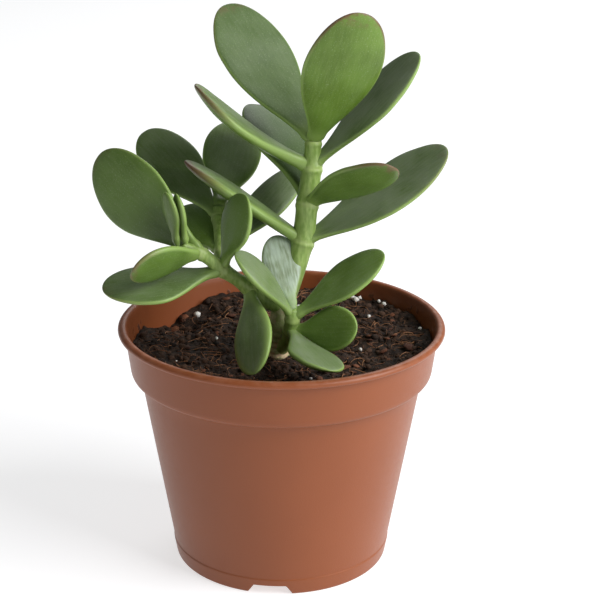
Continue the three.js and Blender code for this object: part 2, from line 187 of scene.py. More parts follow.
def turned_pot():
    """The pot's section turned about its axis: x = r cos a, y = r sin a, z = h.

    In a foot-ring gap, the points below the ring's top move up in proportion, so that the
    ring's underside stands at the gap's height.
    """
    outer = eased(OUTER_SECTION + INNER_SECTION[:1], CORNER_EASE, LONGEST_STEP)
    inner = eased(OUTER_SECTION[-1:] + INNER_SECTION, CORNER_EASE, LONGEST_STEP)[CORNER_STEPS:]
    section = np.concatenate([outer, inner])
    radius, height = section[:, :1], section[:, 1:]
    angle = np.linspace(0, 360, POT_SECTORS, endpoint=False)[None, :]
    ring_top = np.where(radius < 38.5, BASE_UNDERSIDE, FOOT_LINE_HEIGHT)
    is_ring = (np.arange(len(section))[:, None] < len(outer)) & (height < ring_top) & (radius > 20)
    lift = np.where(is_ring, (ring_top - height) * notch_height(angle) / ring_top, 0)
    height = height + lift
    radius = radius + np.where(radius > 39, lift * BODY_SLOPE, 0)
    turn = np.radians(angle)
    rings = np.stack(np.broadcast_arrays(radius * np.cos(turn), radius * np.sin(turn), height), axis=-1)
    inside = (np.arange(len(section))[:, None] >= len(outer)).astype(float)
    return skin("pot_shell", rings, (0, 0, 0), (0, 0, POT_BASE_TOP), {"inside": inside})


def drilled(piece, angles, circle, radius, low, high):
    """Cuts round holes down through a piece, from height high to height low, on a circle."""
    turn = np.linspace(0, 2 * np.pi, 32, endpoint=False)
    drills = []
    for angle in np.radians(angles):
        x = circle * np.cos(angle) + radius * np.cos(turn)
        y = circle * np.sin(angle) + radius * np.sin(turn)
        rings = np.stack([np.stack([x, y, np.full_like(x, z)], axis=-1) for z in (low, high)])
        centre = (circle * np.cos(angle), circle * np.sin(angle))
        drills.append(skin("drill", rings, (*centre, low), (*centre, high), {}))
    bpy.context.view_layer.update()
    for drill in drills:
        cut = piece.modifiers.new("drain_hole", "BOOLEAN")
        cut.operation = "DIFFERENCE"
        cut.solver = "EXACT"
        cut.object = drill
    shape = piece.evaluated_get(bpy.context.evaluated_depsgraph_get())
    cut_mesh = bpy.data.meshes.new_from_object(shape)
    piece.modifiers.clear()
    piece.data = cut_mesh
    for drill in drills:
        bpy.data.objects.remove(drill)


class Wire:
    """One output of a node in a material. Sums and products of wires add Math nodes."""

    def __init__(self, tree, socket=None):
        self.tree = tree
        self.socket = socket

    def node(self, kind, settings, inputs, output=0):
        """Adds a node, sets it, feeds its sockets with values or wires, and gives one output."""
        made = self.tree.nodes.new(kind)
        for setting, value in settings.items():
            setattr(made, setting, value)
        for name, value in inputs.items():
            if isinstance(value, Wire):
                self.tree.links.new(value.socket, made.inputs[name])
            else:
                made.inputs[name].default_value = value
        return Wire(self.tree, made.outputs[output])

    def __add__(self, other):
        return self.node("ShaderNodeMath", {"operation": "ADD"}, {0: self, 1: other})

    def __sub__(self, other):
        return self.node("ShaderNodeMath", {"operation": "SUBTRACT"}, {0: self, 1: other})

    def __rsub__(self, other):
        return self.node("ShaderNodeMath", {"operation": "SUBTRACT"}, {0: other, 1: self})

    def __mul__(self, other):
        return self.node("ShaderNodeMath", {"operation": "MULTIPLY"}, {0: self, 1: other})

    __radd__ = __add__
    __rmul__ = __mul__

    def rise(self, low, high):
        """Eases from 0 at low to 1 at high. With low above high it falls instead."""
        return self.node("ShaderNodeMapRange", {"interpolation_type": "SMOOTHSTEP"},
                         {"Value": self, "From Min": low, "From Max": high})

    def paint(self, under, over):
        """The colour under where this is 0, over where it is 1, and a mix of them between."""
        return self.node("ShaderNodeMix", {"data_type": "RGBA"}, {0: self, 6: under, 7: over}, 2)

    def grain(self, place, scale, detail=2.0):
        """Smooth random numbers about 0.5 over a place, scale lumps to the metre."""
        return self.node("ShaderNodeTexNoise", {}, {"Vector": place, "Scale": scale, "Detail": detail})

    def mark(self, name):
        """A number that the mesh keeps at each of its points."""
        return self.node("ShaderNodeAttribute", {"attribute_name": name}, {}, 2)

    def place(self):
        """Where a point is on the object, in metres."""
        return self.node("ShaderNodeTexCoord", {}, {}, 3)

    def raised(self, distance):
        """The surface's direction when this raises it by up to distance, in metres."""
        return self.node("ShaderNodeBump", {}, {"Height": self, "Distance": distance})

    def feed(self, shader, socket):
        """Links this to a socket of a shader."""
        self.tree.links.new(self.socket, shader.inputs[socket])


def new_finish(name, fixed):
    """A material with one Principled shader, whose fixed values are set on its own sockets."""
    material = bpy.data.materials.new(name)
    material.use_nodes = True
    shader = material.node_tree.nodes["Principled BSDF"]
    for socket, value in fixed.items():
        shader.inputs[socket].default_value = value
    return material, Wire(material.node_tree), shader


def colour(red, green, blue):
    """A screen colour from 0 to 255 as a shader's linear colour."""
    screen = np.array([red, green, blue]) / 255
    linear = np.where(screen <= 0.04045, screen / 12.92, ((screen + 0.055) / 1.055) ** 2.4)
    return (*linear.tolist(), 1.0)


def terracotta_plastic():
    """Satin moulded plastic, a little paler on the lip's top, where a highlight is painted, with earth on
    its inner wall.
    """
    material, pen, shader = new_finish("terracotta_plastic", {"Specular IOR Level": 0.34})
    place = pen.place()
    height = pen.node("ShaderNodeSeparateXYZ", {}, {"Vector": place}, 2)
    clouds = pen.grain(place, 34, 3.0)
    tone = clouds.paint(colour(132, 71, 38), colour(142, 78, 44))
    # Painted highlight: the lip's top is mixed in patches towards a pale colour, standing in for the light
    # it reflects.
    lip_painted_highlight = height.rise(0.0893, 0.0912) * pen.grain(place, 240, 4.0).rise(0.35, 0.7)
    tone = (lip_painted_highlight * 0.4).paint(tone, colour(172, 116, 90))
    smear = pen.grain(place, 330, 6.0).rise(0.56, 0.66) * pen.grain(place, 60, 2.0).rise(0.45, 0.6)
    earth = smear * pen.mark("inside") * height.rise(0.0905, 0.083)
    tone = (earth * 0.85).paint(tone, colour(58, 36, 26))
    tone.feed(shader, "Base Color")
    (pen.grain(place, 500, 3.0) * 0.12 + 0.32 + earth * 0.4).feed(shader, "Roughness")
    (pen.grain(place, 2600, 2.0) + earth * 4).raised(0.00004).feed(shader, "Normal")
    return material


def finish_piece(piece, material, slot, *nodes):
    """Gives a piece its material, and fixes it to the plant in the place of these CAD nodes."""
    piece.data.materials.clear()
    piece.data.materials.append(material)
    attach(piece, "root")
    if nodes:
        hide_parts(*nodes)


pot_shell = turned_pot()
drilled(pot_shell, DRAIN_ANGLES, DRAIN_CIRCLE_RADIUS, DRAIN_RADIUS, 1, 7)
finish_piece(pot_shell, terracotta_plastic(), "pot_plastic", "pot")


# ---------------------------------------------------------------------------- the soil
# Potting mix of dark peat and coconut coir, filled by hand to a centimetre below the lip. It
# has settled lower round the trunk, and deepest in a hollow against the wall at the left.
SOIL_LEVEL = 81.5
SOIL_TOP_RADIUS = 55.1
SOIL_BOTTOM = 5.2
SOIL_SECTORS = 460
SOIL_RINGS = 150
CLUMP_SIZES = {9.0: 0.8, 4.2: 0.85, 1.9: 0.55, 0.9: 0.3}


def ripple(points, size, seed):
    """Smooth random numbers from -1 to 1 at points.

    Space is cut into cubes of that size, each corner has a random number, and the number at a
    point is eased between the eight corners round it.
    """
    scaled = points / size
    cell = np.floor(scaled).astype(np.int64)
    part = scaled - cell
    ease = part * part * (3 - 2 * part)
    total = np.zeros(points.shape[:-1])
    for corner in np.ndindex(2, 2, 2):
        x, y, z = np.moveaxis(cell + corner, -1, 0)
        mixed = (x * 374761393 + y * 668265263 + z * 1442695041 + seed * 97531) & 0x7FFFFFFF
        mixed = ((mixed ^ (mixed >> 13)) * 1274126177) & 0x7FFFFFFF
        number = ((mixed ^ (mixed >> 16)) & 0xFFFF) / 0x7FFF - 1
        weight = np.prod(np.where(np.array(corner) == 1, ease, 1 - ease), axis=-1)
        total += weight * number
    return total


def soil_height(x, y):
    """Height of the soil's top at a point in plan.

    It is a dish that rises with the square of the distance from the middle, on a slight slope,
    less a bell-shaped hollow at the left, with clumps and crumbs of four sizes added.
    """
    dish = 3 * (x * x + y * y) / 2900 - 2
    slope = 0.02 * x + 0.04 * y
    hollow = -6 * np.exp(-((x + 42) ** 2 + (y - 32) ** 2) / 260)
    lumps = 0.5 * np.sin(x / 6.5 + 1.2) * np.cos(y / 7.5) + 0.35 * np.sin(x / 3.9 - y / 4.7)
    flat = np.stack(np.broadcast_arrays(x, y, 0.0), axis=-1)
    crumbs = sum(tall * ripple(flat, size, seed)
                 for seed, (size, tall) in enumerate(CLUMP_SIZES.items()))
    return SOIL_LEVEL + dish + slope + hollow + lumps + crumbs


def soil_block():
    """The soil as rings: out under its base, up the pot's wall, and in over its uneven top."""
    turn = np.linspace(0, 2 * np.pi, SOIL_SECTORS, endpoint=False)
    wall = np.array([(20, SOIL_BOTTOM), (37.5, SOIL_BOTTOM), (39.5, 8), (50.3, 72), (53.6, 75)])
    wall_rings = np.stack(np.broadcast_arrays(
        wall[:, :1] * np.cos(turn), wall[:, :1] * np.sin(turn), wall[:, 1:]), axis=-1)
    radius = SOIL_TOP_RADIUS * np.linspace(1, 0.01, SOIL_RINGS)[:, None]
    x, y = radius * np.cos(turn), radius * np.sin(turn)
    top_rings = np.stack([x, y, soil_height(x, y)], axis=-1)
    rings = np.concatenate([wall_rings, top_rings])
    return skin("soil_block", rings, (0, 0, SOIL_BOTTOM), rings[-1].mean(axis=0), {})


def potting_mix(name, dark, pale):
    """Dark crumbly earth: mottled at three sizes, dull, and rough to the touch."""
    material, pen, shader = new_finish(name, {"Roughness": 0.85, "Specular IOR Level": 0.3})
    place = pen.place()
    clumps = pen.grain(place, 420, 5.0).rise(0.35, 0.68)
    specks = pen.grain(place, 1900, 3.0).rise(0.5, 0.75)
    (clumps * 0.5 + specks * 0.45).paint(dark, pale).feed(shader, "Base Color")
    pen.grain(place, 2400, 5.0).raised(0.0006).feed(shader, "Normal")
    return material


soil_piece = soil_block()
peat = potting_mix("peat", colour(30, 21, 16), colour(84, 60, 44))
finish_piece(soil_piece, peat, "soil", "soil")


# ---------------------------------------------------------------------------- loose crumbs
# Lying on the soil: crumbs of peat, chips of composted bark, strands of coir, and white grains
# of perlite, the puffed volcanic glass that keeps a potting mix open. All lie where they fell.
PEAT_CRUMB_COUNT = 1700
BARK_CHIP_COUNT = 90
COIR_STRAND_COUNT = 620
CLOD_SIDES = 6
CLOD_ROWS = 3
STRAND_ROWS = 7
STRAND_SIDES = 3
STRAND_REACH = 54


def scattered(count, seed, reach=53.5):
    """Random places on the soil: as many points as asked for, spread evenly in plan."""
    chance = np.random.default_rng(seed)
    turn = chance.uniform(0, 2 * np.pi, count)
    radius = reach * np.sqrt(chance.uniform(0.01, 1, count))
    return np.stack([radius * np.cos(turn), radius * np.sin(turn)], axis=-1)


def clods(name, places, sizes, stand, seed):
    """Lumps on the soil, each a ball stretched along three axes, turned and made uneven.

    A point is centre + size * (1 + 0.3 ripple) * direction, with directions over a whole ball.
    sizes holds the half-length, half-width and half-thickness of each lump. Its centre is above
    the soil by stand times its half-thickness.
    """
    chance = np.random.default_rng(seed)
    count = len(places)
    climb = np.linspace(-np.pi / 2, np.pi / 2, CLOD_ROWS + 2)[1:-1, None]
    turn = np.linspace(0, 2 * np.pi, CLOD_SIDES, endpoint=False)[None, :]
    ball = np.stack(np.broadcast_arrays(
        np.cos(climb) * np.cos(turn), np.cos(climb) * np.sin(turn), np.sin(climb)), axis=-1)
    ball = np.concatenate([ball.reshape(-1, 3), [(0, 0, -1), (0, 0, 1)]])
    spin = chance.uniform(0, 2 * np.pi, count)
    tilt = chance.uniform(-0.6, 0.6, count)
    along = np.stack([np.cos(spin) * np.cos(tilt), np.sin(spin) * np.cos(tilt), np.sin(tilt)], axis=-1)
    across = np.stack([-np.sin(spin), np.cos(spin), 0 * spin], axis=-1)
    up = np.cross(along, across)
    uneven = 1 + 0.3 * ripple(ball[None] * 3 + 40 * np.arange(count)[:, None, None], 1.7, seed)
    local = ball[None] * sizes[:, None, :] * uneven[..., None]
    centre = np.column_stack([places, soil_height(places[:, 0], places[:, 1]) + stand * sizes[:, 2]])
    turned = (local[..., :1] * along[:, None] + local[..., 1:2] * across[:, None]
              + local[..., 2:] * up[:, None])
    index = np.arange(CLOD_ROWS * CLOD_SIDES).reshape(CLOD_ROWS, CLOD_SIDES)
    beside = np.roll(index, -1, axis=1)
    quads = np.stack([index[:-1], beside[:-1], beside[1:], index[1:]], axis=-1).reshape(-1, 4)
    low = np.full(CLOD_SIDES, index.size)
    fans = np.concatenate([
        np.stack([beside[0], index[0], low], axis=-1),
        np.stack([index[-1], beside[-1], low + 1], axis=-1),
    ])
    step = (len(ball) * np.arange(count))[:, None, None]
    return new_piece(name, (centre[:, None] + turned).reshape(-1, 3),
                     [(quads[None] + step).reshape(-1, 4), (fans[None] + step).reshape(-1, 3)],
                     {"tone": np.repeat(chance.uniform(0, 1, count), len(ball))})


def strands(name, places, lengths, thicknesses, seed):
    """Loose fibres: thin three-sided rods, bent sideways and up in the middle.

    A fibre's middle line runs (t - 1/2) * length along its heading from its place, with a bend
    of bow * sin(pi t) sideways and arch * sin(pi t) upwards. Its height is midway between the
    soil under each point and the mean of the soil under the whole fibre. It thins at its ends.
    """
    chance = np.random.default_rng(seed)
    count = len(places)
    t = np.linspace(0, 1, STRAND_ROWS)[None, :]
    heading = chance.uniform(0, 2 * np.pi, (count, 1))
    bow = chance.uniform(-0.35, 0.35, (count, 1)) * lengths[:, None]
    ahead = (t - 0.5) * lengths[:, None]
    aside = bow * np.sin(np.pi * t)
    x = places[:, :1] + ahead * np.cos(heading) - aside * np.sin(heading)
    y = places[:, 1:] + ahead * np.sin(heading) + aside * np.cos(heading)
    shrink = np.minimum(1, STRAND_REACH / np.maximum(np.hypot(x, y), 1))
    x, y = x * shrink, y * shrink
    arch = chance.uniform(0.1, 0.9, (count, 1)) * np.sin(np.pi * t)
    ground = soil_height(x, y)
    height = ground * 0.5 + ground.mean(axis=1, keepdims=True) * 0.5 + 0.25 + arch
    middle = np.stack([x, y, height], axis=-1)
    side = np.stack(np.broadcast_arrays(-np.sin(heading), np.cos(heading), 0.0), axis=-1)
    corner = np.linspace(0, 2 * np.pi, STRAND_SIDES, endpoint=False)
    slim = (thicknesses[:, None] / 2 * (0.4 + 0.6 * np.sin(np.pi * (0.1 + 0.8 * t))))[..., None, None]
    rings = (middle[:, :, None] + slim * (np.cos(corner)[None, None, :, None] * side[:, :, None]
             + np.sin(corner)[None, None, :, None] * np.array([0, 0, 1.0])))
    index = np.arange(STRAND_ROWS * STRAND_SIDES).reshape(STRAND_ROWS, STRAND_SIDES)
    beside = np.roll(index, -1, axis=1)
    quads = np.stack([index[:-1], beside[:-1], beside[1:], index[1:]], axis=-1).reshape(-1, 4)
    ends = np.array([index[0, ::-1], index[-1]])
    step = (index.size * np.arange(count))[:, None, None]
    return new_piece(name, rings.reshape(-1, 3),
                     [(quads[None] + step).reshape(-1, 4), (ends[None] + step).reshape(-1, 3)],
                     {"tone": np.repeat(chance.uniform(0, 1, count), index.size)})


def litter_finish(name, dark, pale, roughness, rough_height):
    """Loose bits that each have a tone of their own between two colours, with a mottled skin."""
    material, pen, shader = new_finish(name, {"Roughness": roughness, "Specular IOR Level": 0.3})
    place = pen.place()
    mottled = pen.mark("tone") * 0.75 + pen.grain(place, 1500, 4.0) * 0.5 - 0.12
    mottled.rise(0.0, 1.0).paint(dark, pale).feed(shader, "Base Color")
    pen.grain(place, 2200, 4.0).raised(rough_height).feed(shader, "Normal")
    return material


def bit_sizes(count, seed, smallest, largest, flat):
    """Random half-sizes of loose bits, most of them near the smallest, flat times as thick."""
    chance = np.random.default_rng(seed)
    half = smallest + (largest - smallest) * chance.uniform(0, 1, count) ** 2.5
    return np.column_stack([half * chance.uniform(1, 1.5, count), half, half * flat])


crumb_sizes = bit_sizes(PEAT_CRUMB_COUNT, seed=12, smallest=0.4, largest=1.5, flat=0.75)
peat_crumbs = clods("peat_crumbs", scattered(PEAT_CRUMB_COUNT, seed=11), crumb_sizes, stand=0.1, seed=13)
crumb_peat = litter_finish("crumb_peat", colour(24, 17, 13), colour(80, 57, 43),
                           roughness=0.9, rough_height=0.0005)
finish_piece(peat_crumbs, crumb_peat, "soil")

chip_sizes = bit_sizes(BARK_CHIP_COUNT, seed=22, smallest=0.9, largest=2.4, flat=0.3)
bark_chips = clods("bark_chips", scattered(BARK_CHIP_COUNT, seed=21), chip_sizes, stand=0.6, seed=23)
bark = litter_finish("bark", colour(58, 32, 22), colour(128, 80, 56), roughness=0.8, rough_height=0.0004)
finish_piece(bark_chips, bark, "soil")

strand_chance = np.random.default_rng(31)
strand_lengths = strand_chance.uniform(2.5, 9, COIR_STRAND_COUNT)
strand_thicknesses = strand_chance.uniform(0.16, 0.34, COIR_STRAND_COUNT)
coir_strands = strands("coir_strands", scattered(COIR_STRAND_COUNT, seed=32, reach=51), strand_lengths,
                       strand_thicknesses, seed=33)
coir = litter_finish("coir", colour(70, 40, 26), colour(176, 124, 86), roughness=0.75, rough_height=0.0002)
finish_piece(coir_strands, coir, "soil")

PERLITE_PLACES = np.array([
    (-33.6, 37.5), (-24.6, 9.4), (27.1, 44.5), (28.6, 41.1), (30.2, 43.2), (37.4, 37.6), (39.3, 35.4),
    (28.9, -4.7), (37.4, -6.5), (51.6, 11.0), (10.7, -29.0), (17.5, -31.5), (-14, -38), (-27, -27),
    (6, 38), (-8, 46), (-47, 4), (46, -18), (22, 18), (33, 24), (-16, 33), (14, -46), (-38, -12),
])
PERLITE_HALF_SIZES = np.array([
    1.35, 0.65, 1.05, 1.25, 0.8, 0.8, 0.9,
    0.75, 0.45, 0.7, 0.6, 0.5, 0.4, 0.5,
    0.9, 0.7, 0.6, 0.6, 0.5, 0.7, 0.5, 0.5, 0.4,
])
perlite_sizes = np.column_stack([PERLITE_HALF_SIZES * 1.1, PERLITE_HALF_SIZES, PERLITE_HALF_SIZES * 0.95])
perlite_grains = clods("perlite_grains", PERLITE_PLACES, perlite_sizes, stand=0.75, seed=43)
perlite = litter_finish("perlite", colour(205, 200, 192), colour(246, 244, 240),
                        roughness=0.7, rough_height=0.0003)
finish_piece(perlite_grains, perlite, "soil")


# ---------------------------------------------------------------------------- the trunk
# The old stem of the cutting: soft, thick and green above, turning to grey-brown bark near the
# soil. A ringed, swollen node marks each place where a pair of leaves sits or once sat.
TRUNK_LOW = (7.5, -3, 123)
TRUNK_MIDDLE = (9, -1.5, 136.5)
TRUNK_HIGH = (10.5, 0, 149.5)
TRUNK_TOP = (11, 0.5, 159)
STEM_SIDES = 44
STEM_STEP = 0.3
CURVE_STEPS = 80
NODE_SWELL = 0.45
NODE_SWELL_LENGTH = 2.2
SCAR_DEPTH = 0.22
SCAR_PACE = 2.9
SCARS_FROM = 84
SCARS_FADE = 9


def smooth_path(points):
    """An even run of points along a smooth curve, how far along each is, and where the given are.

    The curve is a centripetal Catmull-Rom spline: a cubic between each two points, whose end
    slopes come from their neighbours, with steps timed by the square root of the distances.
    """
    given = np.array(points, dtype=float)
    whole = np.concatenate([[2 * given[0] - given[1]], given, [2 * given[-1] - given[-2]]])
    a, b, c, d = whole[:-3], whole[1:-2], whole[2:-1], whole[3:]
    ab, bc, cd = (np.sqrt(np.linalg.norm(q - p, axis=1, keepdims=True))
                  for p, q in ((a, b), (b, c), (c, d)))
    leave = ((b - a) / ab - (c - a) / (ab + bc) + (c - b) / bc) * bc
    arrive = ((c - b) / bc - (d - b) / (bc + cd) + (d - c) / cd) * bc
    t = np.linspace(0, 1, CURVE_STEPS, endpoint=False)[None, :, None]
    b, c, leave, arrive = b[:, None], c[:, None], leave[:, None], arrive[:, None]
    cubic = (b + leave * t + (3 * (c - b) - 2 * leave - arrive) * t ** 2
             + (2 * (b - c) + leave + arrive) * t ** 3)
    line = np.concatenate([cubic.reshape(-1, 3), given[-1:]])
    reach = np.concatenate([[0], np.cumsum(np.linalg.norm(np.diff(line, axis=0), axis=1))])
    even = np.linspace(0, reach[-1], int(reach[-1] / STEM_STEP))
    path = np.stack([np.interp(even, reach, line[:, k]) for k in range(3)], axis=-1)
    return path, even, reach[::CURVE_STEPS]


def stem(name, waypoints, nodes, reference, bark_below, seed):
    """A stem: a round section carried along a smooth path through waypoints of x, y, z, radius.

    The radius runs straight between waypoints. At each node it gains a bell-shaped swelling,
    with a narrow groove where the leaf bases meet and a low ridge under it. Ripples make it
    uneven, more so on the bark below the height bark_below. Close to the soil the bark is ringed
    with old scars, a sine of the height that fades out upwards.
    """
    waypoints = np.array(waypoints, dtype=float)
    path, reach, stations = smooth_path(waypoints[:, :3])
    radius = np.interp(reach, stations, waypoints[:, 3])
    from_node = np.full(len(reach), 99.0)
    for node in nodes:
        away = reach - stations[node]
        radius = radius + NODE_SWELL * np.exp(-(away / NODE_SWELL_LENGTH) ** 2)
        radius = radius - 0.16 * np.exp(-(away / 0.45) ** 2) + 0.14 * np.exp(-((away + 1.3) / 0.6) ** 2)
        from_node = np.minimum(from_node, np.abs(away))
    tangent = np.gradient(path, axis=0)
    tangent /= np.linalg.norm(tangent, axis=1, keepdims=True)
    normal = reference - (tangent @ np.array(reference))[:, None] * tangent
    normal /= np.linalg.norm(normal, axis=1, keepdims=True)
    binormal = np.cross(tangent, normal)
    turn = np.linspace(0, 2 * np.pi, STEM_SIDES, endpoint=False)[None, :, None]
    direction = np.cos(turn) * normal[:, None] + np.sin(turn) * binormal[:, None]
    bark = 1 / (1 + np.exp((path[:, 2] - bark_below) / 4))[:, None]
    skin_points = path[:, None] + direction * radius[:, None, None]
    height = path[:, 2:]
    scars = SCAR_DEPTH * np.sin(height * SCAR_PACE) * np.clip(1 - (height - SCARS_FROM) / SCARS_FADE, 0, 1)
    slow = 0.07 * ripple(skin_points, 5, seed)
    fine = (0.02 + 0.12 * bark) * ripple(skin_points, 1.6, seed + 1)
    uneven = slow + fine + bark * scars
    rings = skin_points + direction * uneven[..., None]
    start = path[0] - tangent[0] * radius[0] * 0.4
    end = path[-1] + tangent[-1] * radius[-1] * 0.4
    return skin(name, rings, start, end, {"bark": bark, "from_node": from_node[:, None]})


def stem_skin():
    """Fleshy green skin, paler at each node, that turns to flaking grey-brown bark when old."""
    material, pen, shader = new_finish("stem_skin", {
        "Specular IOR Level": 0.45, "Subsurface Weight": 0.12,
        "Subsurface Radius": (0.7, 1.0, 0.3), "Subsurface Scale": 0.0015})
    place = pen.place()
    lengthwise = pen.node("ShaderNodeMapping", {}, {"Vector": place, "Scale": (1.0, 1.0, 0.25)})
    streaks = pen.grain(lengthwise, 900, 4.0)
    mottle = pen.grain(place, 260, 4.0)
    young = streaks.rise(0.3, 0.75).paint(colour(118, 146, 66), colour(156, 180, 102))
    young = (mottle.rise(0.45, 0.7) * 0.5).paint(young, colour(146, 166, 98))
    joint = pen.mark("from_node").rise(1.5, 0.0)
    young = (joint * 0.55).paint(young, colour(178, 196, 124))
    old = mottle.rise(0.4, 0.62).paint(colour(156, 166, 108), colour(190, 190, 146))
    old = pen.grain(place, 700, 5.0).rise(0.55, 0.7).paint(old, colour(180, 166, 130))
    flakes = pen.grain(place, 160, 3.0).rise(0.6, 0.68) * pen.grain(place, 1100, 2.0).rise(0.35, 0.6)
    old = (flakes * 0.8).paint(old, colour(232, 232, 220))
    height = pen.node("ShaderNodeSeparateXYZ", {}, {"Vector": place}, 2)
    dry_rings = height.rise(0.0895, 0.086) * pen.grain(place, 420, 3.0).rise(0.35, 0.6)
    old = dry_rings.paint(old, colour(206, 182, 146))
    bark = pen.mark("bark")
    patchy = (bark + mottle * 0.6 - 0.3).rise(0.25, 0.75)
    patchy.paint(young, old).feed(shader, "Base Color")
    (bark * 0.35 + streaks * 0.1 + 0.4).feed(shader, "Roughness")
    (streaks * 0.6 + bark * pen.grain(place, 900, 5.0) * 2.5).raised(0.00012).feed(shader, "Normal")
    return material


living_skin = stem_skin()
trunk = stem("trunk_stem", [
    (-1, -7, 69.5, 3.4), (-1, -7, 79.5, 3.9), (-1, -7, 85, 3.8), (-0.9, -7, 90, 3.8),
    (0.5, -6, 99.5, 3.9), (3.3, -5, 108.5, 4), (6, -4, 117.5, 4), (*TRUNK_LOW, 4),
    (*TRUNK_MIDDLE, 3.8), (*TRUNK_HIGH, 3.5), (*TRUNK_TOP, 2.6),
], nodes=(3, 7, 8, 9, 10), reference=(1, 0, 0), bark_below=103, seed=51)
finish_piece(trunk, living_skin, "woody_stem", "trunk")


# ---------------------------------------------------------------------------- side branches
# Green side shoots, grown from buds at the trunk's old leaf scars: a long branch to the left
# with a shoot of its own behind it, and a short shoot low down at the front.
BRANCH_FIRST = (-11.5, -11, 107.8)
BRANCH_SECOND = (-21, -15, 116)
BRANCH_THIRD = (-28.5, -17.5, 122.8)
BRANCH_TOP = (-34.5, -19, 125.8)
SHOOT_LOW = (-21.5, -8, 120)
SHOOT_TOP = (-22.8, 3, 130)
SHOOT_TIP = (-23, 4.5, 133)
FRONT_LOW = (3.5, -14, 93)
FRONT_TOP = (4, -16, 98.5)
FRONT_TIP = (4.3, -16.4, 101.5)

left_branch = stem("left_branch_stem", [
    (0.5, -6.2, 98.5, 2.8), (-5.5, -8.5, 102.2, 3), (*BRANCH_FIRST, 2.9), (-16, -13, 111.7, 2.4),
    (*BRANCH_SECOND, 2.5), (*BRANCH_THIRD, 2.1), (*BRANCH_TOP, 1.7),
], nodes=(2, 4, 5), reference=(0, 1, 0), bark_below=60, seed=53)
back_shoot = stem("back_shoot_stem", [
    (-20.8, -12.5, 116.2, 2.4), (*SHOOT_LOW, 2.4), (-21.8, -2.5, 125, 2.7), (*SHOOT_TOP, 2.6),
    (*SHOOT_TIP, 2.2),
], nodes=(1, 3), reference=(1, 0, 0), bark_below=60, seed=55)
front_shoot = stem("front_shoot_stem", [
    (-0.5, -8, 83, 2.6), (2.2, -11.5, 87.5, 2.6), (*FRONT_LOW, 2.6), (*FRONT_TOP, 2.4),
    (*FRONT_TIP, 1.7),
], nodes=(2, 3), reference=(1, 0, 0), bark_below=60, seed=57)
finish_piece(left_branch, living_skin, "green_stem", "left_branch")
finish_piece(back_shoot, living_skin, "green_stem", "back_shoot")
finish_piece(front_shoot, living_skin, "green_stem", "front_shoot")


# ---------------------------------------------------------------------------- trunk leaves
# Thick water-storing leaves, in opposite pairs up the trunk, each pair turned a quarter from
# the next. Each is a flattened spoon on a short stalk that clasps the stem, with a waxy grey
# bloom on its upper face, partly a painted sheen, a clear green underside, and a margin that
# the sun turns red. Painted shade darkens the leaves that stand in shade.
LEAF_ROWS = 76
LEAF_SIDES = 44
STALK_SHARE = 0.09
STALK_FLATNESS = 0.82
CLASP_SWELL = 0.5
CHANNEL_DEPTH = 0.3


